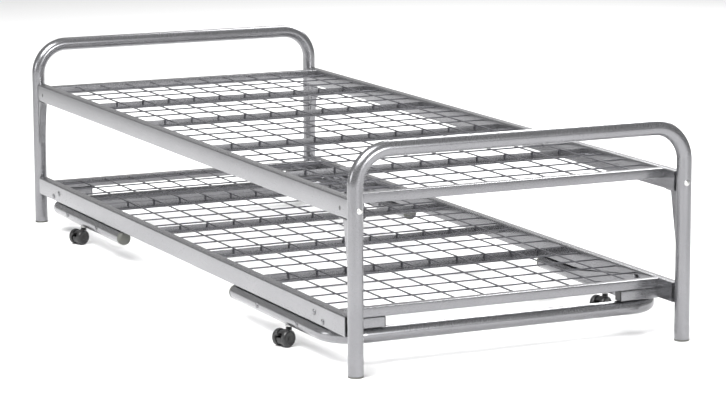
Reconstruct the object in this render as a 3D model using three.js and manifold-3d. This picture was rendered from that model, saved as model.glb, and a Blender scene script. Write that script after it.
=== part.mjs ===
// Steel guest bed with a roll-out trundle: two tube hoops carry the upper wire base, and a second
// wire base on folding U-shaped caster legs rolls out sideways from under it.
// Millimetres, +Z up, +X towards the foot end, origin on the floor at the middle of the bounding box.
import * as THREE from "three";
import { mergeVertices } from "three/addons/utils/BufferGeometryUtils.js";
import Module from "manifold-3d";

const wasm = await Module();
wasm.setup();

// ---------------------------------------------------------------- driving dimensions
const GAP = 0.3; // air left between touching pieces
const HOOP = { x: 1030, y: 410, top: 495, bend: 80 }; // post axes, height of the top bar's axis
const TUBE = { r: 17.5, inner: 15.5, sides: 12, innerSides: 6 }; // 35 mm round tube
const GLIDE = { h: 4, plugR: 11, plugH: 14 };
const RAIL = { h: 46, w: 25, wall: 1.5, endRailH: 22 }; // rectangular tubes of both frames
const PLATE = { t: 2.5, holeR: 4.2 }; // welded on the side rails' ends
const UPPER = {
  top: 389,
  outerY: 419.5,
  endX: 1012,
  crossX: 968,
  meshZ: 384,
  bars: [-626, -278, 160, 595],
  cross: { first: -890, pitch: 87.5, count: 21 },
};
const LOWER = {
  top: 130,
  outerY: 423,
  endX: 1003,
  crossX: 946,
  meshZ: 125.75,
  bars: [-554, -183, 165, 494],
  cross: { first: -909, pitch: 87, count: 22 },
};
const WIRE = { half: 1.75, count: 10, pitch: 73.5, drop: 14.5, clear: 5 }; // square stand-in for 4 mm wire
const BAR = { flange: 28, sheet: 2, below: 17 }; // crossbars, folded angle
const RAIL_HOLE = { x: 972, below: 26, r: 5 }; // open hole near each end of the upper rails
const LEG = { y: 412, z: 65, crossX: 927, endX: 365, bend: 75 }; // U tube of one folding leg
const CAP = { length: 13, plug: 12, plugR: 11 };
const PIVOTS = { R1: [842, 109], R2: [887, 95], T1: [536, 65], T2: [759, 65] }; // x, z
const LINK = { w: 22, t: 4, y: 392.2 }; // flat bars beside the inner side of the leg tube
const RIVET = { r: 3.5, hole: 3.9, head: 7, headH: 3.5, sides: 6 };
const CASTER = { x: 679, trail: 17, wheelR: 20, wheelW: 13, hoodW: 14, stemR: 4, bore: 4.4, sides: 12 };
const CASTER_TURN = (23 * Math.PI) / 180; // how far each caster has swivelled
const AXLE = { r: 2.5, bore: 2.9 };
const LEVER = { pivot: [-29, 31], r: 1.3, bore: 1.7, w: 10, h: 4, length: 14 };
const BLOCK = { length: 98, depth: 24 };
const BRACKET = { drop: 120, stand: 24, sheet: 2.5, shelf: 46, shelfW: 20 };

// ---------------------------------------------------------------- materials
const finish = (color, roughness, metalness) =>
  new THREE.MeshStandardMaterial({ color, roughness, metalness });
const silverPaint = finish(0x9c9ca0, 0.38, 0.55);
const wireSteel = finish(0x5c5c60, 0.42, 0.7);
const zincSteel = finish(0xb4b4b2, 0.35, 0.85);
const greyPlastic = finish(0x77787a, 0.6, 0);
const blackPlastic = finish(0x161616, 0.45, 0);

// ---------------------------------------------------------------- geometry helpers
/** Turns closed geometry into a manifold-3d solid. */
function solid(geometry) {
  const bare = geometry.clone();
  bare.deleteAttribute("normal");
  bare.deleteAttribute("uv");
  const merged = mergeVertices(bare, 1e-4);
  return new wasm.Manifold(
    new wasm.Mesh({
      numProp: 3,
      vertProperties: new Float32Array(merged.attributes.position.array),
      triVerts: new Uint32Array(merged.index.array),
    }),
  );
}

/** Turns a manifold-3d solid back into geometry. */
function geometryOf(made) {
  const mesh = made.getMesh();
  const geometry = new THREE.BufferGeometry();
  geometry.setAttribute("position", new THREE.BufferAttribute(mesh.vertProperties, 3));
  geometry.setIndex(new THREE.BufferAttribute(mesh.triVerts, 1));
  return geometry;
}

const cut = (geometry, tools) =>
  geometryOf(tools.reduce((left, tool) => left.subtract(solid(tool)), solid(geometry)));
const join = (geometries) =>
  geometryOf(geometries.map(solid).reduce((sum, next) => sum.add(next)));

/** A box between two corners. */
function boxBetween(low, high) {
  const size = high.map((v, i) => v - low[i]);
  return new THREE.BoxGeometry(...size).translate(...low.map((v, i) => v + size[i] / 2));
}

/** A cylinder along X, Y or Z, centred on the point. */
function rod(axis, radius, length, centre, sides = 12) {
  const geometry = new THREE.CylinderGeometry(radius, radius, length, sides);
  if (axis === "x") geometry.rotateZ(Math.PI / 2);
  if (axis === "z") geometry.rotateX(Math.PI / 2);
  return geometry.translate(...centre);
}

/** A path through chosen stations, so straight stretches cost one step. */
class StationPath extends THREE.Curve {
  constructor(stations, normal) {
    super();
    this.stations = stations;
    this.normal = normal;
  }
  getPoint(t) {
    const place = t * (this.stations.length - 1);
    const i = Math.min(Math.floor(place), this.stations.length - 2);
    return this.stations[i].clone().lerp(this.stations[i + 1], place - i);
  }
  getSpacedPoints() {
    return this.stations;
  }
  computeFrenetFrames() {
    const last = this.stations.length - 1;
    const tangents = this.stations.map((_, i) =>
      this.stations[Math.min(i + 1, last)].clone().sub(this.stations[Math.max(i - 1, 0)]).normalize(),
    );
    const normals = this.stations.map(() => this.normal.clone());
    const binormals = tangents.map((t) => new THREE.Vector3().crossVectors(t, this.normal));
    return { tangents, normals, binormals };
  }
}

const polygon = (radius, sides, Kind = THREE.Shape) => {
  const corner = (i) => {
    const angle = ((i + 0.5) / sides) * 2 * Math.PI;
    return new THREE.Vector2(radius * Math.cos(angle), radius * Math.sin(angle));
  };
  return new Kind(Array.from({ length: sides }, (_, i) => corner(i)));
};

/** A round hollow tube along stations that lie in the plane across normal. */
function tube(stations, normal) {
  const section = polygon(TUBE.r, TUBE.sides);
  section.holes.push(polygon(TUBE.inner, TUBE.innerSides, THREE.Path));
  const extrudePath = new StationPath(stations, normal);
  return new THREE.ExtrudeGeometry(section, { steps: stations.length - 1, extrudePath });
}

/** Stations of a U whose two corners are rounded, through end, corner, corner, end. */
function roundedU(points, radius, steps = 5) {
  const stations = [points[0]];
  for (const i of [1, 2]) {
    const back = points[i - 1].clone().sub(points[i]).normalize();
    const ahead = points[i + 1].clone().sub(points[i]).normalize();
    const centre = points[i].clone().addScaledVector(back, radius).addScaledVector(ahead, radius);
    for (let s = 0; s <= steps; s += 1) {
      const angle = (s / steps) * (Math.PI / 2);
      stations.push(
        centre
          .clone()
          .addScaledVector(ahead, -radius * Math.cos(angle))
          .addScaledVector(back, -radius * Math.sin(angle)),
      );
    }
  }
  stations.push(points[3]);
  return stations;
}

const v3 = (x, y, z) => new THREE.Vector3(x, y, z);
const X_AXIS = v3(1, 0, 0);
const Z_AXIS = v3(0, 0, 1);

// ---------------------------------------------------------------- scene graph
const bed = new THREE.Group();

function add(name, geometry, material) {
  const mesh = new THREE.Mesh(geometry, material);
  mesh.name = name;
  bed.add(mesh);
}

const ENDS = [["head", -1], ["foot", 1]];
const SIDES = [["right", -1], ["left", 1]];
const CORNERS = ENDS.flatMap(([end, sx]) => SIDES.map(([side, sy]) => [`${end}_${side}`, sx, sy]));

/** A box between a near and a far distance from the middle planes, in one corner of the bed. */
function cornerBox(sx, sy, [nearX, farX], [nearY, farY], [low, high]) {
  const xs = [sx * nearX, sx * farX].sort((a, b) => a - b);
  const ys = [sy * nearY, sy * farY].sort((a, b) => a - b);
  return boxBetween([xs[0], ys[0], low], [xs[1], ys[1], high]);
}

/** A lathe whose profile is given as radius and height, turned to stand along +Z. */
const turned = (profile, sides) =>
  new THREE.LatheGeometry(
    profile.map(([r, h]) => new THREE.Vector2(r, h)),
    sides,
  ).rotateX(Math.PI / 2);

// ---------------------------------------------------------------- hoops and their glides
for (const [end, sx] of ENDS) {
  const foot = GLIDE.h + GAP;
  const corners = [
    v3(sx * HOOP.x, -HOOP.y, foot),
    v3(sx * HOOP.x, -HOOP.y, HOOP.top),
    v3(sx * HOOP.x, HOOP.y, HOOP.top),
    v3(sx * HOOP.x, HOOP.y, foot),
  ];
  add(`${end}_hoop`, tube(roundedU(corners, HOOP.bend), X_AXIS), silverPaint);
}
for (const [corner, sx, sy] of CORNERS) {
  const profile = [[0, 0], [TUBE.r, 0], [TUBE.r, GLIDE.h], [GLIDE.plugR, GLIDE.h]];
  profile.push([GLIDE.plugR, GLIDE.h + GLIDE.plugH], [0, GLIDE.h + GLIDE.plugH]);
  const glide = turned(profile, TUBE.sides).translate(sx * HOOP.x, sy * HOOP.y, 0);
  add(`glide_${corner}`, glide, greyPlastic);
}

// ---------------------------------------------------------------- frames of the two wire bases
/** A hollow side rail with a drilled plate welded on each end and holes through both walls. */
function sideRail(base, sy, holes, holeR) {
  const [inner, outer] = [base.outerY - RAIL.w, base.outerY];
  const bottom = base.top - RAIL.h;
  const end = base.endX - PLATE.t;
  const ys = [sy * inner, sy * outer].sort((a, b) => a - b);
  const full = boxBetween([-base.endX, ys[0], bottom], [base.endX, ys[1], base.top]);
  const bore = boxBetween(
    [-end, ys[0] + RAIL.wall, bottom + RAIL.wall],
    [end, ys[1] - RAIL.wall, base.top - RAIL.wall],
  );
  const middleY = (ys[0] + ys[1]) / 2;
  const across = holes.map(([x, z]) => rod("y", holeR, RAIL.w + 4, [x, middleY, z], 8));
  const plates = [-1, 1].map((sx) =>
    rod("x", PLATE.holeR, 12, [sx * base.endX, middleY, base.top - RAIL.h / 2], 8),
  );
  return cut(full, [bore, ...across, ...plates]);
}

/** A rectangular tube that lies across the bed between the side rails. */
function endRail(base, sx) {
  const half = base.outerY - RAIL.w - GAP;
  const bottom = base.top - RAIL.endRailH;
  const xs = [sx * (base.crossX - RAIL.w), sx * base.crossX].sort((a, b) => a - b);
  const shell = boxBetween([xs[0], -half, bottom], [xs[1], half, base.top]);
  const bore = boxBetween(
    [xs[0] + RAIL.wall, -half - 1, bottom + RAIL.wall],
    [xs[1] - RAIL.wall, half + 1, base.top - RAIL.wall],
  );
  return cut(shell, [bore]);
}

/** An angle across the bed: its upright leg under the long wires, its flange towards the foot. */
function crossbar(base, x) {
  const back = x - BAR.sheet;
  const low = base.meshZ - BAR.below;
  const high = base.meshZ - WIRE.half - GAP;
  const angle = new THREE.Shape(
    [
      [back, low],
      [back + BAR.flange, low],
      [back + BAR.flange, low + BAR.sheet],
      [x, low + BAR.sheet],
      [x, high],
      [back, high],
    ].map(([u, v]) => new THREE.Vector2(u, v)),
  );
  const half = base.outerY - RAIL.w - GAP;
  const geometry = new THREE.ExtrudeGeometry(angle, { depth: 2 * half, bevelEnabled: false });
  return geometry.rotateX(Math.PI / 2).translate(0, half, 0);
}

/** Long wires on top of cross wires, with a bent end down to each crossbar's flange. A crossbar in
 * a cross wire's place stands in for it. */
function wireMesh(base) {
  const { half } = WIRE;
  const endX = base.crossX - RAIL.w - GAP;
  const endY = base.outerY - RAIL.w - GAP;
  const under = base.meshZ - half;
  const pieces = [];
  for (let i = 0; i < WIRE.count; i += 1) {
    const y = (i - (WIRE.count - 1) / 2) * WIRE.pitch;
    pieces.push(boxBetween([-endX, y - half, under], [endX, y + half, base.meshZ + half]));
    for (const x of base.bars) {
      const foot = [x + GAP, y - half, base.meshZ - WIRE.drop];
      pieces.push(boxBetween(foot, [x + GAP + 2 * half, y + half, under]));
    }
  }
  for (let i = 0; i < base.cross.count; i += 1) {
    const x = base.cross.first + i * base.cross.pitch;
    if (base.bars.some((bar) => Math.abs(x - bar) < WIRE.clear)) continue;
    pieces.push(boxBetween([x - half, -endY, under - 2 * half], [x + half, endY, under]));
  }
  return join(pieces);
}

const openHoles = [-1, 1].map((sx) => [sx * RAIL_HOLE.x, UPPER.top - RAIL_HOLE.below]);
const rivetHoles = [-1, 1].flatMap((sx) => [PIVOTS.R1, PIVOTS.R2].map(([x, z]) => [sx * x, z]));
for (const [level, base, holes, holeR] of [
  ["upper", UPPER, openHoles, RAIL_HOLE.r],
  ["trundle", LOWER, rivetHoles, RIVET.hole],
]) {
  for (const [side, sy] of SIDES) {
    add(`${level}_${side}_rail`, sideRail(base, sy, holes, holeR), silverPaint);
  }
  for (const [end, sx] of ENDS) add(`${level}_${end}_rail`, endRail(base, sx), silverPaint);
  base.bars.forEach((x, i) => add(`${level}_crossbar_${i + 1}`, crossbar(base, x), silverPaint));
  add(`${level}_wire_mesh`, wireMesh(base), wireSteel);
}

// ---------------------------------------------------------------- brackets on the posts
for (const [corner, sx, sy] of CORNERS) {
  const top = UPPER.top - RAIL.h - GAP;
  const back = HOOP.x - TUBE.r - GAP;
  const web = new THREE.Shape([
    new THREE.Vector2(back, top),
    new THREE.Vector2(back - BRACKET.stand, top),
    new THREE.Vector2(back, top - BRACKET.drop),
  ]);
  const wall = new THREE.ExtrudeGeometry(web, { depth: BRACKET.sheet, bevelEnabled: false });
  wall.rotateX(Math.PI / 2).translate(0, BRACKET.sheet / 2, 0);
  const half = BRACKET.shelfW / 2;
  const shelf = boxBetween([back - BRACKET.shelf, -half, top - BRACKET.sheet], [back, half, top]);
  const bracket = join([wall, shelf]);
  if (sx < 0) bracket.rotateZ(Math.PI);
  add(`bracket_${corner}`, bracket.translate(0, sy * HOOP.y, 0), silverPaint);
}

// ---------------------------------------------------------------- blocks under the end rails
for (const [corner, sx, sy] of CORNERS) {
  const outerY = LOWER.outerY - RAIL.w - GAP;
  const xs = [LOWER.crossX - BLOCK.depth, LOWER.crossX];
  const zs = [LOWER.top - RAIL.h, LOWER.top - RAIL.endRailH - GAP];
  const shell = cornerBox(sx, sy, xs, [outerY - BLOCK.length, outerY], zs);
  const bore = cornerBox(
    sx,
    sy,
    [xs[0] + RAIL.wall, xs[1] - RAIL.wall],
    [outerY - BLOCK.length - 1, outerY + 1],
    [zs[0] + RAIL.wall, zs[1] - RAIL.wall],
  );
  add(`rest_block_${corner}`, cut(shell, [bore]), silverPaint);
}

// ---------------------------------------------------------------- folding legs
for (const [end, sx] of ENDS) {
  const tubeEnd = sx * (LEG.endX + CAP.length + GAP);
  const corners = [
    v3(tubeEnd, -LEG.y, LEG.z),
    v3(sx * LEG.crossX, -LEG.y, LEG.z),
    v3(sx * LEG.crossX, LEG.y, LEG.z),
    v3(tubeEnd, LEG.y, LEG.z),
  ];
  const drills = [-1, 1].flatMap((sy) => [
    rod("y", RIVET.hole, 50, [sx * PIVOTS.T1[0], sy * LEG.y, LEG.z], 8),
    rod("y", RIVET.hole, 50, [sx * PIVOTS.T2[0], sy * LEG.y, LEG.z], 8),
    rod("z", CASTER.bore, 20, [sx * CASTER.x, sy * LEG.y, LEG.z - TUBE.r], 8),
  ]);
  add(`${end}_leg_tube`, cut(tube(roundedU(corners, LEG.bend), Z_AXIS), drills), silverPaint);
}

/** A flat bar with round ends and a rivet outwards in each, reaching past the face it seats on. */
function link(sy, from, to, seats) {
  const [dx, dz] = [to[0] - from[0], to[1] - from[1]];
  const length = Math.hypot(dx, dz);
  const outline = new THREE.Shape();
  outline.absarc(0, 0, LINK.w / 2, Math.PI / 2, (3 * Math.PI) / 2, false);
  outline.absarc(length, 0, LINK.w / 2, -Math.PI / 2, Math.PI / 2, false);
  const settings = { depth: LINK.t, bevelEnabled: false, curveSegments: 4 };
  const bar = new THREE.ExtrudeGeometry(outline, settings).translate(0, 0, -LINK.t / 2);
  bar.rotateZ(Math.atan2(dz, dx)).translate(from[0], from[1], 0).rotateX(Math.PI / 2);
  const rivets = [from, to].map(([x, z], i) => {
    const seat = seats[i] + GAP - LINK.y;
    const profile = [[0, -LINK.t / 4], [RIVET.r, -LINK.t / 4], [RIVET.r, seat]];
    profile.push([RIVET.head, seat], [RIVET.head * 0.6, seat + RIVET.headH]);
    profile.push([0, seat + RIVET.headH]);
    return turned(profile, RIVET.sides).rotateX((-sy * Math.PI) / 2).translate(x, 0, z);
  });
  return join([bar, ...rivets]).translate(0, sy * LINK.y, 0);
}
for (const [corner, sx, sy] of CORNERS) {
  const [r1, r2, t1, t2] = ["R1", "R2", "T1", "T2"].map((key) => [sx * PIVOTS[key][0], PIVOTS[key][1]]);
  const seats = [LEG.y + TUBE.r, LOWER.outerY];
  add(`long_link_${corner}`, link(sy, t1, r1, seats), silverPaint);
  add(`short_link_${corner}`, link(sy, t2, r2, seats), silverPaint);

  const profile = [[0, 0], [TUBE.r, 0], [TUBE.r, CAP.length * 0.6], [TUBE.r * 0.75, CAP.length]];
  profile.push([0, CAP.length]);
  const dome = turned(profile, TUBE.sides);
  const plug = rod("z", CAP.plugR, CAP.plug, [0, 0, 1 - CAP.plug / 2], TUBE.sides);
  const cap = join([dome, plug]).rotateY((-sx * Math.PI) / 2);
  cap.translate(sx * (LEG.endX + CAP.length), sy * LEG.y, LEG.z);
  add(`leg_cap_${corner}`, cap, greyPlastic);
}

// ---------------------------------------------------------------- casters
/** A wheel on the X axis with a rounded tread. */
function wheel(side) {
  const inner = CASTER.hoodW / 2 + 1;
  const outer = inner + CASTER.wheelW;
  const profile = [[0, inner], [CASTER.wheelR - 1.5, inner], [CASTER.wheelR, inner + 2]];
  profile.push([CASTER.wheelR, outer - 4], [CASTER.wheelR - 4, outer], [0, outer]);
  return turned(profile, CASTER.sides).rotateY((side * Math.PI) / 2);
}

const tubeUnder = LEG.z - TUBE.r;
const hub = [0, -CASTER.trail, CASTER.wheelR];
for (const [corner, sx, sy] of CORNERS) {
  const seat = [sx * CASTER.x, sy * LEG.y, 0];
  const placed = (geometry) => geometry.rotateZ(CASTER_TURN).translate(...seat);
  const stemProfile = [[0, 28], [CASTER.stemR, 28], [CASTER.stemR, tubeUnder - 4]];
  stemProfile.push([8.5, tubeUnder - 4], [8.5, tubeUnder - GAP], [CASTER.stemR, tubeUnder - GAP]);
  stemProfile.push([CASTER.stemR, tubeUnder + 14], [0, tubeUnder + 14]);
  add(`caster_stem_${corner}`, turned(stemProfile, 8).translate(...seat), zincSteel);

  const half = CASTER.hoodW / 2;
  const hood = rod("x", CASTER.wheelR - 2.5, CASTER.hoodW, hub, CASTER.sides);
  const arm = boxBetween([-half, -CASTER.trail, 25], [half, 2, 37.5]);
  const boss = rod("z", half, 15.5, [0, 0, 35.1], CASTER.sides);
  const cavities = [
    rod("z", CASTER.bore, 16, [0, 0, 35.7], 8),
    rod("x", AXLE.bore, 40, hub, 8),
  ];
  const braked = sy < 0;
  const [pinY, pinZ] = LEVER.pivot;
  if (braked) {
    const slot = LEVER.w / 2 + 0.5;
    const reach = LEVER.r + 2.2;
    cavities.push(boxBetween([-slot, pinY - 30, pinZ - 7], [slot, pinY + reach, pinZ + 12]));
    cavities.push(rod("x", LEVER.bore, 40, [0, pinY, pinZ], 8));
  }
  const housing = cut(join([hood, arm, boss]), cavities);
  add(`caster_housing_${corner}`, placed(housing), blackPlastic);

  const axle = rod("x", AXLE.r, CASTER.hoodW + CASTER.wheelW, hub, 8);
  const pair = [-1, 1].map((side) => wheel(side).translate(...hub));
  add(`caster_wheels_${corner}`, placed(join([...pair, axle])), blackPlastic);

  if (braked) {
    const lever = boxBetween(
      [-LEVER.w / 2, pinY - LEVER.length, pinZ - LEVER.h / 2],
      [LEVER.w / 2, pinY + LEVER.r, pinZ + LEVER.h / 2],
    );
    const pin = rod("x", LEVER.r, CASTER.hoodW - 0.6, [0, pinY, pinZ], 8);
    add(`caster_brake_${corner}`, placed(join([lever, pin])), blackPlastic);
  }
}

// The wheels trail to one side, so the middle of the bounding box is off the bed's own middle.
const bounds = new THREE.Box3().setFromObject(bed);
bed.position.y = -(bounds.min.y + bounds.max.y) / 2;

export default bed;
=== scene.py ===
"""Steel guest bed with a roll-out trundle on castered folding legs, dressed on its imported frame.

Everything is in metres: +X is the foot end, +Y the left side and +Z up. Each class dresses one
sub-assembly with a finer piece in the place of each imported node. Places come from the nodes' boxes.
Where a box doesn't give a place, such as a tube's axis or a pivot, it is a field of the class.
"""
from __future__ import annotations

import logging
import math
from dataclasses import dataclass
from enum import Enum

import bmesh
import bpy
from mathutils import Matrix, Vector

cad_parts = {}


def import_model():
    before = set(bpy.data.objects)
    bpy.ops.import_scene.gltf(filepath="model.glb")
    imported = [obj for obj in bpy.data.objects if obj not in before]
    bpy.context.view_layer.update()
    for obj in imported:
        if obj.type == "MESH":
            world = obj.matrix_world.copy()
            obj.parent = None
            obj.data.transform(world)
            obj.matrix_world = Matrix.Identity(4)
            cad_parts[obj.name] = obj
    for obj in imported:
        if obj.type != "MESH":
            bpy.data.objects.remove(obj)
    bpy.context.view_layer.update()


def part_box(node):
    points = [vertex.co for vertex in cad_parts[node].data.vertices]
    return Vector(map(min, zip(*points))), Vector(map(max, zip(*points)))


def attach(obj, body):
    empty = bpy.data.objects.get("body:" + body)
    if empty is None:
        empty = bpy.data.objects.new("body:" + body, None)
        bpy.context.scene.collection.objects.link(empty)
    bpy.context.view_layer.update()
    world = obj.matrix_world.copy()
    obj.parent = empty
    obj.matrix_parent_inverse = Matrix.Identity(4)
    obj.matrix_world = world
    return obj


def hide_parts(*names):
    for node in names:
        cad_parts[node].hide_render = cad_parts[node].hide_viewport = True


LOG = logging.getLogger("guest_bed")
Point = tuple[float, float, float]
Profile = list[tuple[float, float]]
Mesh = bmesh.types.BMesh

BED = "bed_frame"
TRUNDLE = "trundle"
ENDS = (("head", -1), ("foot", 1))
SIDES = (("right", -1), ("left", 1))
CORNERS: list[tuple[str, int, int]] = [
    (f"{end}_{side}", sx, sy) for end, sx in ENDS for side, sy in SIDES
]
BARS = range(1, 5)
X_AXIS, Y_AXIS, Z_AXIS = Vector((1, 0, 0)), Vector((0, 1, 0)), Vector((0, 0, 1))


class Slot(Enum):
    """A material slot of the record."""

    PAINT = "silver_paint"
    WIRE = "wire_steel"
    ZINC = "zinc_steel"
    GREY = "grey_plastic"
    # Black plastic; the same slot also carries the painted shade inside the rails' holes.
    BLACK = "black_plastic"


# ---------------------------------------------------------------- finishes
@dataclass(frozen=True)
class Finish:
    """A procedural finish with a fine grain, cloudy colour and uneven gloss."""

    name: str
    light: Point
    dark: Point
    metallic: float
    roughness: tuple[float, float]
    grain: float
    bump: float
    coat: float = 0.0
    cloud: float = 9.0
    bump_depth: float = 0.0004

    def make(self) -> bpy.types.Material:
        """Build the node tree of this finish.

        Returns:
            The material.
        """
        material = bpy.data.materials.new(self.name)
        material.use_nodes = True
        tree = material.node_tree
        nodes, link = tree.nodes, tree.links.new
        shader = nodes["Principled BSDF"]
        place = nodes.new("ShaderNodeTexCoord")
        fine = self._noise(tree, place, scale=self.grain, detail=4.0)
        cloud = self._noise(tree, place, scale=self.cloud, detail=3.0)
        tone = nodes.new("ShaderNodeMix")
        tone.data_type = "RGBA"
        tone.inputs["A"].default_value = (*self.dark, 1.0)
        tone.inputs["B"].default_value = (*self.light, 1.0)
        gloss = nodes.new("ShaderNodeMapRange")
        gloss.inputs["To Min"].default_value, gloss.inputs["To Max"].default_value = self.roughness
        bump = nodes.new("ShaderNodeBump")
        bump.inputs["Strength"].default_value = self.bump
        bump.inputs["Distance"].default_value = self.bump_depth
        link(cloud.outputs["Fac"], tone.inputs["Factor"])
        link(fine.outputs["Fac"], gloss.inputs["Value"])
        link(fine.outputs["Fac"], bump.inputs["Height"])
        link(tone.outputs["Result"], shader.inputs["Base Color"])
        link(gloss.outputs["Result"], shader.inputs["Roughness"])
        link(bump.outputs["Normal"], shader.inputs["Normal"])
        shader.inputs["Metallic"].default_value = self.metallic
        shader.inputs["Coat Weight"].default_value = self.coat
        return material

    @staticmethod
    def _noise(
        tree: bpy.types.NodeTree, place: bpy.types.Node, scale: float, detail: float
    ) -> bpy.types.Node:
        """Add a noise texture on object coordinates.

        Args:
            tree: The tree that it is added to.
            place: The texture coordinate node.
            scale: The noise's scale, per metre.
            detail: The noise's detail.

        Returns:
            The noise node.
        """
        noise = tree.nodes.new("ShaderNodeTexNoise")
        noise.inputs["Scale"].default_value = scale
        noise.inputs["Detail"].default_value = detail
        tree.links.new(place.outputs["Object"], noise.inputs["Vector"])
        return noise


FINISHES: dict[Slot, Finish] = {
    Slot.PAINT: Finish(
        name="silver_powder_coat",
        light=(0.25, 0.25, 0.26),
        dark=(0.20, 0.20, 0.21),
        metallic=0.88,
        roughness=(0.22, 0.32),
        grain=900.0,
        bump=0.12,
        coat=0.3,
    ),
    Slot.WIRE: Finish(
        name="dark_drawn_wire",
        light=(0.11, 0.11, 0.12),
        dark=(0.07, 0.07, 0.08),
        metallic=0.5,
        roughness=(0.3, 0.45),
        grain=700.0,
        bump=0.1,
    ),
    Slot.ZINC: Finish(
        name="zinc_plate",
        light=(0.62, 0.62, 0.60),
        dark=(0.5, 0.5, 0.5),
        metallic=0.95,
        roughness=(0.22, 0.38),
        grain=500.0,
        bump=0.1,
    ),
    Slot.GREY: Finish(
        name="olive_grey_cap",
        light=(0.11, 0.112, 0.1),
        dark=(0.09, 0.092, 0.082),
        metallic=0.0,
        roughness=(0.5, 0.65),
        grain=1200.0,
        bump=0.2,
    ),
    # Black moulding for the wheels, housings, levers and plugs; this black also stands as painted
    # shade inside the holes in the rails.
    Slot.BLACK: Finish(
        name="black_moulding_and_hole_shade",
        light=(0.018, 0.018, 0.019),
        dark=(0.01, 0.01, 0.01),
        metallic=0.0,
        roughness=(0.3, 0.45),
        grain=1000.0,
        bump=0.15,
        coat=0.2,
    ),
}


# ---------------------------------------------------------------- shapes
def box_of(node: str) -> tuple[Vector, Vector]:
    """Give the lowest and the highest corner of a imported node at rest."""
    low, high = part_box(node)
    return Vector(low), Vector(high)


def merge(meshes: list[Mesh]) -> Mesh:
    """Put several meshes into one.

    Args:
        meshes: The meshes, which are used up.

    Returns:
        One mesh that holds them all.
    """
    whole = bmesh.new()
    for part in meshes:
        data = bpy.data.meshes.new("part")
        part.to_mesh(data)
        part.free()
        whole.from_mesh(data)
        bpy.data.meshes.remove(data)
    return whole


def sweep(path: list[Vector], side: Vector, section: Profile) -> Mesh:
    """Sweep a closed section along a path that lies in the plane across side.

    Args:
        path: The points of the path.
        side: The normal of the path's plane.
        section: Offsets along side and along the path's own normal.

    Returns:
        A closed mesh with flat ends.
    """
    mesh = bmesh.new()
    rings = []
    last = len(path) - 1
    for i, point in enumerate(path):
        back = (point - path[i - 1]).normalized() if i > 0 else None
        ahead = (path[i + 1] - point).normalized() if i < last else None
        tangent = ((back or ahead) + (ahead or back)).normalized()
        normal = tangent.cross(side).normalized()
        mitre = 1.0 / max(0.5, tangent.dot(ahead or back))
        rings.append([mesh.verts.new(point + side * u + normal * (v * mitre)) for u, v in section])
    for low, high in zip(rings, rings[1:]):
        for k in range(len(section)):
            n = (k + 1) % len(section)
            mesh.faces.new((low[k], low[n], high[n], high[k]))
    mesh.faces.new(rings[0][::-1])
    mesh.faces.new(rings[-1])
    return mesh


def round_section(radius: float, sides: int) -> Profile:
    """Give a circle as section offsets."""
    angles = [2 * math.pi * k / sides for k in range(sides)]
    return [(radius * math.cos(angle), radius * math.sin(angle)) for angle in angles]


def rounded_box_section(width: float, height: float, radius: float, steps: int = 4) -> Profile:
    """Give a rectangle with round corners as section offsets.

    Args:
        width: Its size along the first offset.
        height: Its size along the second offset.
        radius: The radius of its corners.
        steps: How many edges a corner has.

    Returns:
        The offsets, in order round the section.
    """
    points = []
    for quarter, (su, sv) in enumerate(((1, 1), (-1, 1), (-1, -1), (1, -1))):
        u, v = su * (width / 2 - radius), sv * (height / 2 - radius)
        for k in range(steps + 1):
            angle = (quarter + k / steps) * math.pi / 2
            points.append((u + radius * math.cos(angle), v + radius * math.sin(angle)))
    return points


def rounded_path(points: list[Vector], radius: float, steps: int = 16) -> list[Vector]:
    """Round the inner corners of a path whose corners are square.

    Args:
        points: The ends and the corners of the path.
        radius: The radius of the bends.
        steps: How many stretches a bend has.

    Returns:
        The points of the rounded path.
    """
    path = [points[0]]
    for before, corner, after in zip(points, points[1:], points[2:]):
        back, ahead = (before - corner).normalized(), (after - corner).normalized()
        centre = corner + (back + ahead) * radius
        for k in range(steps + 1):
            angle = k / steps * math.pi / 2
            path.append(centre - (ahead * math.cos(angle) + back * math.sin(angle)) * radius)
    path.append(points[-1])
    return path


def lathe(profile: Profile, place: Vector, axis: Vector, sides: int = 40) -> Mesh:
    """Turn a profile about an axis through a place.

    Args:
        profile: Radius and height along the axis, from the bottom up.
        place: The point of height zero on the axis.
        axis: The way that height grows.
        sides: How many sides the turned shape has.

    Returns:
        The turned mesh, closed where the profile is.
    """
    mesh = bmesh.new()
    turn = axis.to_track_quat("Z", "Y").to_matrix().to_4x4()
    rings = []
    for radius, height in profile:
        if radius < 1e-7:
            rings.append([mesh.verts.new(place + turn @ Vector((0, 0, height)))])
            continue
        points = [Vector((u, v, height)) for u, v in round_section(radius, sides)]
        rings.append([mesh.verts.new(place + turn @ point) for point in points])
    for low, high in zip(rings, rings[1:]):
        for k in range(sides):
            n = (k + 1) % sides
            around = (low[k % len(low)], low[n % len(low)], high[n % len(high)], high[k % len(high)])
            corners = list(dict.fromkeys(around))
            if len(corners) > 2:
                mesh.faces.new(corners)
    return mesh


def plate(outline: list[Vector], through: Vector, edge: float = 0.0006) -> Mesh:
    """Make a flat plate with softened edges.

    Args:
        outline: The corners of its middle plane, in order.
        through: The vector from its lower to its upper face.
        edge: How far each edge is bevelled.

    Returns:
        A closed mesh.
    """
    mesh = bmesh.new()
    low = [mesh.verts.new(point - through / 2) for point in outline]
    high = [mesh.verts.new(point + through / 2) for point in outline]
    mesh.faces.new(low[::-1])
    mesh.faces.new(high)
    for k in range(len(outline)):
        n = (k + 1) % len(outline)
        mesh.faces.new((low[k], low[n], high[n], high[k]))
    bmesh.ops.recalc_face_normals(mesh, faces=mesh.faces)
    edges = list(mesh.edges)
    bmesh.ops.bevel(mesh, geom=edges, offset=edge, segments=2, affect="EDGES", clamp_overlap=True)
    return mesh


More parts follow.
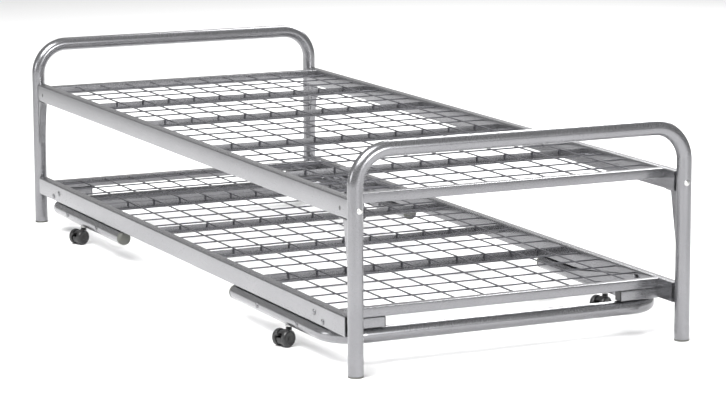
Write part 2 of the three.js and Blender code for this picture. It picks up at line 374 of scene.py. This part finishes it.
def block(low: Vector, high: Vector, edge: float = 0.0008) -> Mesh:
    """Make a box between two corners with softened edges.

    Args:
        low: Its lowest corner.
        high: Its highest corner.
        edge: How far each edge is bevelled.

    Returns:
        A closed mesh.
    """
    z = (low.z + high.z) / 2
    corners = ((low.x, low.y), (high.x, low.y), (high.x, high.y), (low.x, high.y))
    return plate([Vector((x, y, z)) for x, y in corners], Z_AXIS * (high.z - low.z), edge)


def quarter_arc(steps: int) -> list[float]:
    """Give the angles of a quarter turn in equal steps."""
    return [k / steps * math.pi / 2 for k in range(steps + 1)]


def dome(radius: float, height: float) -> Profile:
    """Give the profile of a domed head that stands on height zero."""
    arc = [(radius * math.cos(angle), height * math.sin(angle)) for angle in quarter_arc(6)]
    return [(0.0, 0.0), *arc[:-1], (0.0, height)]


def peg(radius: float, low: float, high: float) -> Profile:
    """Give the profile of a plain round peg between two heights."""
    return [(0.0, low), (radius, low), (radius, high), (0.0, high)]


def bead(start: Vector, end: Vector, radius: float, waves: int = 8, ripple: float = 0.18) -> Mesh:
    """Make a weld bead whose surface swells and shrinks along its length.

    Args:
        start: Where it starts.
        end: Where it ends.
        radius: Its greatest radius.
        waves: How many ripples it has.
        ripple: Half the depth of a ripple, as a share of the radius.

    Returns:
        A closed mesh.
    """
    run = end - start
    steps = waves * 4
    profile = [(0.0, 0.0)]
    for k in range(1, steps):
        swell = 1.0 - ripple + ripple * math.cos(2 * math.pi * k / 4)
        fade = min(1.0, 1.5 * min(k, steps - k) / waves)
        profile.append((radius * swell * fade**0.5, run.length * k / steps))
    profile.append((0.0, run.length))
    return lathe(profile, start, run.normalized(), sides=12)


# ---------------------------------------------------------------- workshop
@dataclass
class Workshop:
    """Makes plain meshes into dressed pieces that ride on their bodies."""

    materials: dict[Slot, bpy.types.Material]
    sharp: float = math.radians(35)

    def piece(self, name: str, mesh: Mesh, slot: Slot, body: str, node: str = "") -> None:
        """Turn a mesh into a piece of the bed.

        Args:
            name: The piece's name.
            mesh: Its shape, which is used up.
            slot: The record's slot that it takes its finish from.
            body: The body that it rides on.
            node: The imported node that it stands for, if any.
        """
        bmesh.ops.remove_doubles(mesh, verts=mesh.verts, dist=1e-6)
        bmesh.ops.recalc_face_normals(mesh, faces=mesh.faces)
        data = bpy.data.meshes.new(name)
        mesh.to_mesh(data)
        mesh.free()
        data.materials.append(self.materials[slot])
        made = bpy.data.objects.new(name, data)
        bpy.context.scene.collection.objects.link(made)
        data.polygons.foreach_set("use_smooth", [True] * len(data.polygons))
        data.set_sharp_from_angle(angle=self.sharp)
        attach(made, body)
        if node:
            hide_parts(node)
        LOG.info("%s rides on %s", name, body)

    def row(self, name: str, unit: Mesh, count: int, step: Point, slot: Slot) -> Mesh:
        """Repeat a unit along a line with Geometry Nodes.

        Args:
            name: The name of the row.
            unit: The first of the row, which is used up.
            count: How many there are.
            step: The way from one to the next.
            slot: The slot of its finish.

        Returns:
            A mesh that holds the whole row.
        """
        data = bpy.data.meshes.new(name)
        bmesh.ops.recalc_face_normals(unit, faces=unit.faces)
        unit.to_mesh(data)
        unit.free()
        helper = bpy.data.objects.new(name, data)
        bpy.context.scene.collection.objects.link(helper)
        modifier = helper.modifiers.new("row", "NODES")
        modifier.node_group = self._row_tree(self.materials[slot])
        sockets = {item.name: item.identifier for item in modifier.node_group.interface.items_tree}
        modifier[sockets["Count"]] = count
        modifier[sockets["Step"]] = step
        graph = bpy.context.evaluated_depsgraph_get()
        whole = bpy.data.meshes.new_from_object(helper.evaluated_get(graph))
        bpy.data.objects.remove(helper)
        made = bmesh.new()
        made.from_mesh(whole)
        bpy.data.meshes.remove(whole)
        return made

    @staticmethod
    def _row_tree(material: bpy.types.Material) -> bpy.types.NodeTree:
        """Build a tree that instances its own geometry in a row.

        Args:
            material: The finish of the result.

        Returns:
            The tree, with inputs named Count and Step.
        """
        tree = bpy.data.node_groups.new("row", "GeometryNodeTree")
        face = tree.interface
        face.new_socket("Geometry", in_out="INPUT", socket_type="NodeSocketGeometry")
        face.new_socket("Count", in_out="INPUT", socket_type="NodeSocketInt")
        face.new_socket("Step", in_out="INPUT", socket_type="NodeSocketVector")
        face.new_socket("Geometry", in_out="OUTPUT", socket_type="NodeSocketGeometry")
        add, link = tree.nodes.new, tree.links.new
        source, out = add("NodeGroupInput"), add("NodeGroupOutput")
        line, place = add("GeometryNodeMeshLine"), add("GeometryNodeInstanceOnPoints")
        real, paint = add("GeometryNodeRealizeInstances"), add("GeometryNodeSetMaterial")
        paint.inputs["Material"].default_value = material
        link(source.outputs["Count"], line.inputs["Count"])
        link(source.outputs["Step"], line.inputs["Offset"])
        link(line.outputs["Mesh"], place.inputs["Points"])
        link(source.outputs["Geometry"], place.inputs["Instance"])
        link(place.outputs["Instances"], real.inputs["Geometry"])
        link(real.outputs["Geometry"], paint.inputs["Geometry"])
        link(paint.outputs["Geometry"], out.inputs["Geometry"])
        return tree


# ---------------------------------------------------------------- the bed's pieces
@dataclass
class TubeWork:
    """The two hoops, their glides, the two folding legs and the caps in their ends."""

    shop: Workshop
    radius: float = 0.0175
    sides: int = 40
    hoop_top: float = 0.495
    hoop_reach: float = 0.410
    hoop_bend: float = 0.080
    leg_cross: float = 0.927
    leg_reach: float = 0.412
    leg_bend: float = 0.075
    glide_height: float = 0.004
    glide_plug: float = 0.011
    cap_plug: float = 0.011
    cap_length: float = 0.013

    def build(self) -> None:
        """Build the tubes and everything plugged into their ends."""
        for end, sx in ENDS:
            self._hoop(end)
            self._leg(end, sx)
        for corner, sx, _ in CORNERS:
            self._glide(corner)
            self._cap(corner, sx)

    def _hoop(self, end: str) -> None:
        """Build the hoop of one end.

        Args:
            end: The end's name.
        """
        node = f"{end}_hoop"
        low, high = box_of(node)
        middle = (low + high) / 2
        turns = ((-1, low.z), (-1, self.hoop_top), (1, self.hoop_top), (1, low.z))
        points = [Vector((middle.x, middle.y + sy * self.hoop_reach, z)) for sy, z in turns]
        path = rounded_path(points, self.hoop_bend)
        mesh = sweep(path, X_AXIS, round_section(self.radius, self.sides))
        self.shop.piece(f"smooth_{node}", mesh, Slot.PAINT, BED, node)

    def _leg(self, end: str, sx: int) -> None:
        """Build the folding leg of one end.

        Args:
            end: The end's name.
            sx: The end's sign along X.
        """
        node = f"{end}_leg_tube"
        low, high = box_of(node)
        middle = (low + high) / 2
        near, far = (low.x if sx > 0 else high.x), sx * self.leg_cross
        turns = ((near, -1), (far, -1), (far, 1), (near, 1))
        points = [Vector((x, middle.y + sy * self.leg_reach, middle.z)) for x, sy in turns]
        path = rounded_path(points, self.leg_bend)
        mesh = sweep(path, Z_AXIS, round_section(self.radius, self.sides))
        self.shop.piece(f"smooth_{end}_leg", mesh, Slot.PAINT, TRUNDLE, node)

    def _glide(self, corner: str) -> None:
        """Build the glide that plugs into one post.

        Args:
            corner: The corner's name.
        """
        node = f"glide_{corner}"
        low, high = box_of(node)
        r, h = (high.x - low.x) / 2, self.glide_height
        place = Vector(((low.x + high.x) / 2, (low.y + high.y) / 2, 0.0))
        profile = [(0, 0), (r - 0.0015, 0), (r, 0.0012), (r, h - 0.0006), (r - 0.0006, h)]
        profile += [(self.glide_plug, h), (self.glide_plug, high.z), (0, high.z)]
        self.shop.piece(f"foot_{node}", lathe(profile, place, Z_AXIS), Slot.GREY, BED, node)

    def _cap(self, corner: str, sx: int) -> None:
        """Build the domed cap in one end of a leg tube.

        Args:
            corner: The corner's name.
            sx: The corner's sign along X.
        """
        node = f"leg_cap_{corner}"
        low, high = box_of(node)
        middle = (low + high) / 2
        r, length = (high.z - low.z) / 2, self.cap_length
        mouth = low.x + length if sx > 0 else high.x - length
        rim = length * 0.35
        shrink, rise = r * 0.3, length - rim
        arc = [(r - shrink * (1 - math.cos(a)), rim + rise * math.sin(a)) for a in quarter_arc(8)]
        depth = high.x - low.x - length
        plug = [(0, -depth), (self.cap_plug, -depth), (self.cap_plug, 0)]
        profile = [*plug, (r, 0), *arc, (0, length)]
        mesh = lathe(profile, Vector((mouth, middle.y, middle.z)), -sx * X_AXIS)
        self.shop.piece(f"tube_cap_{corner}", mesh, Slot.GREY, TRUNDLE, node)


@dataclass
class RailWork:
    """The rails, crossbars, blocks and brackets of both frames."""

    shop: Workshop
    rail_corner: float = 0.0035
    end_rail_corner: float = 0.0028
    block_corner: float = 0.0025
    weld_radius: float = 0.0022
    bar_sheet: float = 0.002
    bar_bend: float = 0.004
    hole_x: float = 0.972
    hole_below: float = 0.026
    hole_radius: float = 0.0048
    end_hole_radius: float = 0.0045
    proud: float = 0.0004
    strip_inset: float = 0.003
    plug_thick: float = 0.003
    weld_setback: float = 0.002
    weld_inset: float = 0.001
    weld_foot: float = 0.003
    weld_top: float = 0.002
    bracket_stand: float = 0.024
    bracket_half: float = 0.0085
    bracket_sheet: float = 0.0018
    cheek_below: float = 0.0026
    notch_below: float = 0.020
    notch_share: float = 0.8
    shelf_thick: float = 0.0025
    shelf_bolt_in: float = 0.014
    web_below: float = 0.003
    web_foot: float = 0.002
    web_in: float = 0.001

    def build(self) -> None:
        """Build each rectangular tube and each folded sheet."""
        for level, body in (("upper", BED), ("trundle", TRUNDLE)):
            for side, sy in SIDES:
                self._side_rail(level, side, sy, body)
            for end, sx in ENDS:
                self._end_rail(f"{level}_{end}_rail", sx, body)
            for i in BARS:
                self._crossbar(f"{level}_crossbar_{i}", body)
        for corner, sx, sy in CORNERS:
            self._bracket(corner, sx)
            self._post_bolt(corner, sx)
            self._rest_block(corner, sy)

    def _side_rail(self, level: str, side: str, sy: int, body: str) -> None:
        """Build one side rail and what shows at its ends.

        Args:
            level: The frame that it belongs to.
            side: The side's name.
            sy: The side's sign along Y.
            body: The body that it rides on.
        """
        node = f"{level}_{side}_rail"
        low, high = box_of(node)
        middle = (low + high) / 2
        section = rounded_box_section(high.z - low.z, high.y - low.y, self.rail_corner)
        path = [Vector((x, middle.y, middle.z)) for x in (low.x, high.x)]
        self.shop.piece(f"formed_{node}", sweep(path, Z_AXIS, section), Slot.PAINT, body, node)
        face = low.y if sy < 0 else high.y
        r, proud = self.hole_radius, self.proud
        for end, sx in ENDS:
            tip = high.x if sx > 0 else low.x
            if level == "upper":
                # Painted shade: a flat black disc on the rail's face stands in for the dark inside of
                # a hole.
                spot = Vector((sx * self.hole_x, face - sy * proud, high.z - self.hole_below))
                rim = [(0.0, 0.0), (r, 0.0), (r + proud, proud), (0.0, proud + 0.0001)]
                name, mesh = f"rail_hole_{side}_{end}", lathe(rim, spot, sy * Y_AXIS, sides=24)
            elif sy < 0:
                # A thin black plate across each near trundle rail's end, inset from its edges; the
                # far rails' ends get a black disc instead.
                inset = Vector((proud, -self.strip_inset, -self.strip_inset))
                start = Vector((tip, low.y, low.z)) - inset
                mesh = block(start, Vector((tip, high.y, high.z)) + inset, edge=0.0002)
                name = f"rail_end_dark_strip_{side}_{end}"
            else:
                # Painted shade: a black disc on each far trundle rail's end stands in for the dark
                # inside of its bolt hole.
                disc = peg(self.end_hole_radius, 0.0, proud)
                spot = Vector((tip, middle.y, middle.z))
                name, mesh = f"plate_hole_{side}_{end}", lathe(disc, spot, sx * X_AXIS, sides=24)
            self.shop.piece(name, mesh, Slot.BLACK, body)

    def _end_rail(self, node: str, sx: int, body: str) -> None:
        """Build one end rail and the weld beads at its ends.

        Args:
            node: The rail's node.
            sx: The end's sign along X.
            body: The body that it rides on.
        """
        low, high = box_of(node)
        middle = (low + high) / 2
        section = rounded_box_section(high.z - low.z, high.x - low.x, self.end_rail_corner)
        path = [Vector((middle.x, y, middle.z)) for y in (low.y, high.y)]
        self.shop.piece(f"formed_{node}", sweep(path, Z_AXIS, section), Slot.PAINT, body, node)
        x = high.x - self.weld_setback if sx > 0 else low.x + self.weld_setback
        beads = []
        for y in (low.y + self.weld_inset, high.y - self.weld_inset):
            foot = Vector((x, y, low.z + self.weld_foot))
            top = Vector((x, y, high.z - self.weld_top))
            beads.append(bead(foot, top, self.weld_radius))
        self.shop.piece(f"weld_{node}", merge(beads), Slot.ZINC, body)

    def _crossbar(self, node: str, body: str) -> None:
        """Build one crossbar as a folded angle with a rounded bend.

        Args:
            node: The crossbar's node.
            body: The body that it rides on.
        """
        low, high = box_of(node)
        t, inner = self.bar_sheet, self.bar_bend - self.bar_sheet
        outline = [(high.x, low.z + t), (high.x, low.z)]
        for a in quarter_arc(5):
            x, z = self.bar_bend * (1 - math.sin(a)), self.bar_bend * (1 - math.cos(a))
            outline.append((low.x + x, low.z + z))
        outline += [(low.x, high.z), (low.x + t, high.z)]
        for a in quarter_arc(5):
            x, z = inner * (1 - math.cos(a)), inner * (1 - math.sin(a))
            outline.append((low.x + t + x, low.z + t + z))
        points = [Vector((x, (low.y + high.y) / 2, z)) for x, z in outline]
        mesh = plate(points, Y_AXIS * (high.y - low.y), edge=0.0002)
        self.shop.piece(f"folded_{node}", mesh, Slot.PAINT, body, node)

    def _bracket(self, corner: str, sx: int) -> None:
        """Build the folded bracket on one post, with the bolt in its shelf.

        Args:
            corner: The corner's name.
            sx: The corner's sign along X.
        """
        node = f"bracket_{corner}"
        low, high = box_of(node)
        y = (low.y + high.y) / 2
        back = high.x if sx > 0 else low.x
        front = back - sx * self.bracket_stand
        notch = back - sx * self.bracket_stand * self.notch_share
        near, far = y - self.bracket_half, y + self.bracket_half
        top, bottom = high.z - self.cheek_below, high.z - self.notch_below
        parts = []
        for v in (near, far):
            cheek = ((back, top), (front, top), (notch, bottom), (back, low.z))
            points = [Vector((x, v, z)) for x, z in cheek]
            parts.append(plate(points, Y_AXIS * self.bracket_sheet, edge=0.0004))
        parts.append(block(Vector((low.x, low.y, high.z - self.shelf_thick)), high))
        top, foot, root = high.z - self.web_below, low.z + self.web_foot, back - sx * self.web_in
        web = ((front, near, top), (front, far, top), (root, far, foot), (root, near, foot))
        parts.append(plate([Vector(p) for p in web], X_AXIS * self.bracket_sheet, edge=0.0003))
        self.shop.piece(f"folded_{node}", merge(parts), Slot.PAINT, BED, node)
        tip = low.x if sx > 0 else high.x
        spot = Vector((tip + sx * self.shelf_bolt_in, y, high.z - self.shelf_thick))
        bolt = lathe(dome(radius=0.006, height=0.003), spot, -Z_AXIS)
        self.shop.piece(f"bracket_bolt_{corner}", bolt, Slot.ZINC, BED)

    def _post_bolt(self, corner: str, sx: int) -> None:
        """Build the bolt head on the outside of one post.

        Args:
            corner: The corner's name.
            sx: The corner's sign along X.
        """
        end, side = corner.split("_")
        post_low, post_high = box_of(f"{end}_hoop")
        rail_low, rail_high = box_of(f"upper_{side}_rail")
        rail = (rail_low + rail_high) / 2
        spot = Vector((post_high.x if sx > 0 else post_low.x, rail.y, rail.z))
        bolt = lathe(dome(radius=0.007, height=0.0035), spot, sx * X_AXIS)
        self.shop.piece(f"post_bolt_{corner}", bolt, Slot.ZINC, BED)

    def _rest_block(self, corner: str, sy: int) -> None:
        """Build one block under an end rail, with the plug in its inner end.

        Args:
            corner: The corner's name.
            sy: The corner's sign along Y.
        """
        node = f"rest_block_{corner}"
        low, high = box_of(node)
        middle = (low + high) / 2
        section = rounded_box_section(high.z - low.z, high.x - low.x, self.block_corner)
        path = [Vector((middle.x, y, middle.z)) for y in (low.y, high.y)]
        mesh = sweep(path, Z_AXIS, section)
        self.shop.piece(f"formed_{node}", mesh, Slot.PAINT, TRUNDLE, node)
        face = high.y if sy < 0 else low.y
        ys = sorted((face, face - sy * self.plug_thick))
        plug = block(Vector((low.x, ys[0], low.z)), Vector((high.x, ys[1], high.z)), edge=0.001)
        self.shop.piece(f"block_plug_{corner}", plug, Slot.BLACK, TRUNDLE)


@dataclass
class WireWork:
    """The welded wire base of each level."""

    shop: Workshop
    radius: float = 0.0019
    sides: int = 10
    level_below_top: float = 0.00175
    cross_below: float = 0.0035
    long_count: int = 10
    long_pitch: float = 0.0735
    drop: float = 0.013
    bend: float = 0.003
    bar_sheet: float = 0.002
    bay_start: float = 0.0045
    bay_end: float = 0.001
    clear: float = 0.005

    def build(self) -> None:
        """Build both wire bases."""
        self._base("upper", BED, first=-0.890, step=0.0875, count=21)
        self._base("trundle", TRUNDLE, first=-0.909, step=0.087, count=22)

    def _base(self, level: str, body: str, first: float, step: float, count: int) -> None:
        """Build one wire base.

        Args:
            level: The frame that it belongs to.
            body: The body that it rides on.
            first: Where the first cross wire lies along X.
            step: The way from one cross wire to the next.
            count: How many places there are for cross wires.
        """
        node = f"{level}_wire_mesh"
        low, high = box_of(node)
        z = high.z - self.level_below_top
        bars = [box_of(f"{level}_crossbar_{i}")[0].x for i in BARS]
        rows = [self._long_wires(low, high, z, bars)]
        section = round_section(self.radius, self.sides)
        for start, wires in self._cross_groups(bars, first, step, count):
            ends = [Vector((start, y, z - self.cross_below)) for y in (low.y, high.y)]
            wire = sweep(ends, X_AXIS, section)
            rows.append(self.shop.row("cross", wire, wires, (step, 0, 0), Slot.WIRE))
        self.shop.piece(f"welded_{node}", merge(rows), Slot.WIRE, body, node)

    def _long_wires(self, low: Vector, high: Vector, z: float, bars: list[float]) -> Mesh:
        """Build the long wires, each bay of which starts with an end bent down on a crossbar.

        Args:
            low: The lowest corner of the base.
            high: Its highest corner.
            z: The height of the wires.
            bars: Where the crossbars' backs are along X.

        Returns:
            A mesh that holds every long wire.
        """
        first_y = (low.y + high.y) / 2 - self.long_pitch * (self.long_count - 1) / 2
        starts = [low.x] + [x + self.bay_start for x in bars]
        ends = [x + self.bay_end for x in bars] + [high.x]
        runs = []
        for bay, (start, end) in enumerate(zip(starts, ends)):
            points = [Vector((start, first_y, z)), Vector((end, first_y, z))]
            if bay:
                points.insert(0, Vector((start, first_y, z - self.drop)))
                points = rounded_path(points, self.bend, steps=4)
            runs.append(sweep(points, Y_AXIS, round_section(self.radius, self.sides)))
        step = (0, self.long_pitch, 0)
        return self.shop.row("long", merge(runs), self.long_count, step, Slot.WIRE)

    def _cross_groups(
        self, bars: list[float], first: float, step: float, count: int
    ) -> list[tuple[float, int]]:
        """Group the cross wires, without the places where a crossbar stands in for one.

        Args:
            bars: Where the crossbars' backs are along X.
            first: Where the first cross wire lies.
            step: The way from one to the next.
            count: How many places there are.

        Returns:
            The first place and the number of wires of each unbroken group.
        """
        legs = [x + self.bar_sheet for x in bars]
        groups: list[tuple[float, int]] = []
        broken = True
        for i in range(count):
            x = first + i * step
            if any(abs(x - leg) < self.clear for leg in legs):
                broken = True
            elif broken:
                groups.append((x, 1))
                broken = False
            else:
                groups[-1] = (groups[-1][0], groups[-1][1] + 1)
        return groups


@dataclass
class LinkWork:
    """The flat links of the folding legs with their rivets."""

    shop: Workshop
    leg_ends: tuple[tuple[float, float], ...] = ((0.536, 0.065), (0.759, 0.065))
    rail_ends: tuple[tuple[float, float], ...] = ((0.842, 0.109), (0.887, 0.095))
    half_width: float = 0.011
    thickness: float = 0.004
    rivet_radius: float = 0.0035
    head_radius: float = 0.007
    head_height: float = 0.0032
    packed_head: float = 0.0035
    gap: float = 0.0003
    end_steps: int = 16

    def build(self) -> None:
        """Build the long and the short link of each corner."""
        for corner, sx, sy in CORNERS:
            for kind, leg, rail in zip(("long", "short"), self.leg_ends, self.rail_ends):
                ends = [(sx * x, z) for x, z in (leg, rail)]
                self._link(f"{kind}_link_{corner}", ends, sy)

    def _link(self, node: str, ends: list[tuple[float, float]], sy: int) -> None:
        """Build one link and the rivet in each of its ends.

        Args:
            node: The link's node.
            ends: X and Z of the pivot on the leg and of the one on the rail.
            sy: The side's sign along Y.
        """
        low, high = box_of(node)
        inner, outer = (low.y, high.y) if sy > 0 else (high.y, low.y)
        rail_low, rail_high = box_of(f"trundle_{node.split('_')[-1]}_rail")
        rail_face = rail_high.y if sy > 0 else rail_low.y
        seats = (outer - sy * self.packed_head, rail_face + sy * self.gap)
        y = inner + sy * self.thickness / 2
        (ax, az), (bx, bz) = ends
        slope = math.atan2(bz - az, bx - ax)
        outline = []
        for (x, z), base in zip(ends, (slope + math.pi / 2, slope - math.pi / 2)):
            for k in range(self.end_steps + 1):
                angle = base + math.pi * k / self.end_steps
                u, v = self.half_width * math.cos(angle), self.half_width * math.sin(angle)
                outline.append(Vector((x + u, y, z + v)))
        parts = [plate(outline, Y_AXIS * self.thickness, edge=0.0005)]
        for (x, z), seat in zip(ends, seats):
            shank = peg(self.rivet_radius, 0.0, abs(seat - y))
            parts.append(lathe(shank, Vector((x, y, z)), sy * Y_AXIS, sides=24))
            head = dome(self.head_radius, self.head_height)
            parts.append(lathe(head, Vector((x, seat, z)), sy * Y_AXIS))
        self.shop.piece(f"riveted_{node}", merge(parts), Slot.PAINT, TRUNDLE, node)


@dataclass
class CasterWork:
    """The four twin-wheel casters, drawn about their stems and then swivelled into place."""

    shop: Workshop
    turn: float = math.radians(23)
    wheel: float = 0.020
    trail: float = 0.017
    hood: float = 0.0175
    half: float = 0.007
    axle: float = 0.0025
    wheel_gap: float = 0.001
    wheel_width: float = 0.013
    tube_under: float = 0.0472
    lever_pin: tuple[float, float] = (-0.029, 0.031)
    lever_length: float = 0.014
    lever_half: float = 0.005
    lever_thick: float = 0.004
    pin_radius: float = 0.0013
    pin_reach: float = 0.0067
    rib_pitch: float = 0.0022
    rib_width: float = 0.0009

    def build(self) -> None:
        """Build the stem, housing, wheels and, where there is one, the brake lever."""
        for corner, _, sy in CORNERS:
            low, high = box_of(f"caster_stem_{corner}")
            seat = Vector(((low.x + high.x) / 2, (low.y + high.y) / 2, 0.0))
            place = Matrix.Translation(seat) @ Matrix.Rotation(self.turn, 4, "Z")
            swivel, pair = f"caster_swivel_{corner}", f"caster_pair_{corner}"
            wheels, housing = self._wheels(), self._housing()
            stem = self._stem(low.z, high.z)
            for mesh in (wheels, housing, stem):
                mesh.transform(place)
            piece = self.shop.piece
            piece(f"twin_wheels_{corner}", wheels, Slot.BLACK, pair, f"caster_wheels_{corner}")
            piece(f"hooded_housing_{corner}", housing, Slot.BLACK, swivel, f"caster_housing_{corner}")
            piece(f"turned_stem_{corner}", stem, Slot.ZINC, TRUNDLE, f"caster_stem_{corner}")
            if sy < 0:
                lever = self._lever()
                lever.transform(place)
                node = f"caster_brake_{corner}"
                piece(f"ribbed_{node}", lever, Slot.BLACK, f"brake_lever_{corner}", node)

    def _wheels(self) -> Mesh:
        """Make two dished wheels with raised rims and hubs on a short axle.

        Returns:
            The pair as one mesh.
        """
        r, inner = self.wheel, self.half + self.wheel_gap
        outer = inner + self.wheel_width
        dish = outer - 0.0016
        tread = [(r - 0.0006, inner + 0.001), (r, inner + 0.003), (r, outer - 0.005)]
        rim = [(r - 0.0008, outer - 0.0025), (r - 0.0025, outer - 0.0006)]
        rim += [(r - 0.005, outer), (r - 0.006, outer - 0.0003)]
        cap = [(r - 0.0068, dish), (0.006, dish), (0.0055, outer - 0.0002), (0.0048, outer)]
        profile = [(0, inner), (r - 0.0025, inner), *tread, *rim, *cap, (0, outer)]
        hub = Vector((0, -self.trail, self.wheel))
        parts = [lathe(profile, hub, side * X_AXIS, sides=48) for side in (-1, 1)]
        reach = inner + 0.001
        parts.append(lathe(peg(self.axle, -reach, reach), hub, X_AXIS, sides=20))
        return merge(parts)

    def _housing(self) -> Mesh:
        """Make a hood between the wheels with an arm to the swivel boss.

        Returns:
            The housing.
        """
        mouth_from, mouth_to, steps = math.radians(140), math.radians(172), 36
        sweep_angle = 2 * math.pi - (mouth_to - mouth_from)
        outline = [Vector((0, -self.trail, self.wheel))]
        for k in range(steps + 1):
            angle = mouth_to + sweep_angle * k / steps
            y, z = self.hood * math.cos(angle), self.hood * math.sin(angle)
            outline.append(Vector((0, y - self.trail, z + self.wheel)))
        hood = plate(outline, X_AXIS * (2 * self.half), edge=0.0008)
        start, end = Vector((-self.half, -self.trail, 0.026)), Vector((self.half, 0.002, 0.0375))
        low, high, bore = 0.0275, 0.0428, 0.0044
        ring = [(bore, low), (self.half, low), (self.half, high - 0.0013)]
        ring += [(self.half - 0.001, high), (bore, high), (bore, low)]
        boss = lathe(ring, Vector((0, 0, 0)), Z_AXIS, sides=32)
        return merge([hood, block(start, end, edge=0.0015), boss])

    def _stem(self, low: float, high: float) -> Mesh:
        """Make a turned pin with a washer under the leg tube.

        Args:
            low: The height of its foot.
            high: The height of its top.

        Returns:
            The stem.
        """
        pin, washer, under = 0.004, 0.0085, self.tube_under
        profile = [(0, low), (pin - 0.0005, low), (pin, low + 0.001), (pin, under - 0.0037)]
        profile += [(washer - 0.0005, under - 0.0037), (washer, under - 0.0032)]
        profile += [(washer, under - 0.0005), (washer - 0.0005, under), (pin, under), (pin, high)]
        profile += [(0, high)]
        return lathe(profile, Vector((0, 0, 0)), Z_AXIS, sides=32)

    def _lever(self) -> Mesh:
        """Make a brake lever with a ribbed pad and its pin.

        Returns:
            The lever.
        """
        y, z = self.lever_pin
        tip, half, rise = y - self.lever_length, self.lever_half, self.lever_thick / 2
        low, high = Vector((-half, tip, z - rise)), Vector((half, y + self.pin_radius, z + rise))
        parts = [block(low, high, edge=0.0009)]
        for k in range(3):
            v, wide = tip + 0.001 + k * self.rib_pitch, half - 0.001
            low, high = Vector((-wide, v, z + 0.0012)), Vector((wide, v + self.rib_width, z + 0.0024))
            parts.append(block(low, high, edge=0.0002))
        pin = peg(self.pin_radius, -self.pin_reach, self.pin_reach)
        parts.append(lathe(pin, Vector((0, y, z)), X_AXIS, sides=16))
        return merge(parts)


# ---------------------------------------------------------------- studio
@dataclass
class Studio:
    """The floor, the light and the camera."""

    place: Point = (6.533, -2.9799, 1.466)
    yaw: float = 2.693
    pitch: float = -0.1673
    roll: float = -0.0017
    lens: float = 143.4
    shift: tuple[float, float] = (-0.029, -0.038)
    sky: float = 0.45

    def build(self) -> None:
        """Build the studio."""
        self._floor()
        self._lights()
        self._camera()

    def _floor(self) -> None:
        """Lay a plain white floor."""
        mesh = bmesh.new()
        bmesh.ops.create_grid(mesh, x_segments=2, y_segments=2, size=30.0)
        data = bpy.data.meshes.new("floor")
        mesh.to_mesh(data)
        mesh.free()
        floor = bpy.data.objects.new("floor", data)
        bpy.context.scene.collection.objects.link(floor)
        paper = bpy.data.materials.new("white_paper")
        paper.use_nodes = True
        shader = paper.node_tree.nodes["Principled BSDF"]
        shader.inputs["Base Color"].default_value = (0.93, 0.93, 0.93, 1.0)
        shader.inputs["Roughness"].default_value = 0.9
        data.materials.append(paper)

    def _lights(self) -> None:
        """Hang two large soft lights and two smaller ones for the tubes' highlights."""
        scene = bpy.context.scene
        scene.world = bpy.data.worlds.new("studio")
        scene.world.use_nodes = True
        sky = scene.world.node_tree.nodes["Background"]
        sky.inputs["Color"].default_value = (1.0, 1.0, 1.0, 1.0)
        sky.inputs["Strength"].default_value = self.sky
        lamps = [("key", (1.5, -2.5, 4.5), 3.0, 420.0), ("fill", (-3.0, 3.5, 4.0), 3.0, 330.0)]
        lamps += [("end_light", (5.5, 0.6, 1.6), 1.2, 110.0)]
        lamps += [("side_light", (-0.5, -5.5, 1.6), 1.4, 45.0)]
        target = Vector((0, 0, 0.2))
        for name, place, size, power in lamps:
            data = bpy.data.lights.new(name, "AREA")
            data.size = size
            data.energy = power
            lamp = bpy.data.objects.new(name, data)
            lamp.location = place
            lamp.rotation_euler = (target - Vector(place)).to_track_quat("-Z", "Y").to_euler()
            scene.collection.objects.link(lamp)
        scene.view_settings.view_transform = "Standard"

    def _camera(self) -> None:
        """Stand the camera in front of the foot end's right corner."""
        data = bpy.data.cameras.new("view")
        data.sensor_width = 36.0
        data.lens = self.lens
        data.shift_x, data.shift_y = self.shift
        data.clip_end = 100.0
        camera = bpy.data.objects.new("view", data)
        level = Vector((math.cos(self.yaw), math.sin(self.yaw), 0.0))
        ahead = level * math.cos(self.pitch) + Z_AXIS * math.sin(self.pitch)
        right = ahead.cross(Z_AXIS).normalized()
        up = right.cross(ahead)
        rolled_right = right * math.cos(self.roll) + up * math.sin(self.roll)
        rolled_up = up * math.cos(self.roll) - right * math.sin(self.roll)
        basis = Matrix((rolled_right, rolled_up, -ahead)).transposed().to_4x4()
        camera.matrix_world = Matrix.Translation(Vector(self.place)) @ basis
        bpy.context.scene.collection.objects.link(camera)
        bpy.context.scene.camera = camera


def main() -> None:
    """Build the bed on its frame and put it in the studio."""
    logging.basicConfig(level=logging.INFO, format="%(message)s")
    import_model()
    Studio().build()
    shop = Workshop({slot: finish.make() for slot, finish in FINISHES.items()})
    for work in (TubeWork(shop), RailWork(shop), WireWork(shop), LinkWork(shop), CasterWork(shop)):
        work.build()


if __name__ == "__main__":
    main()
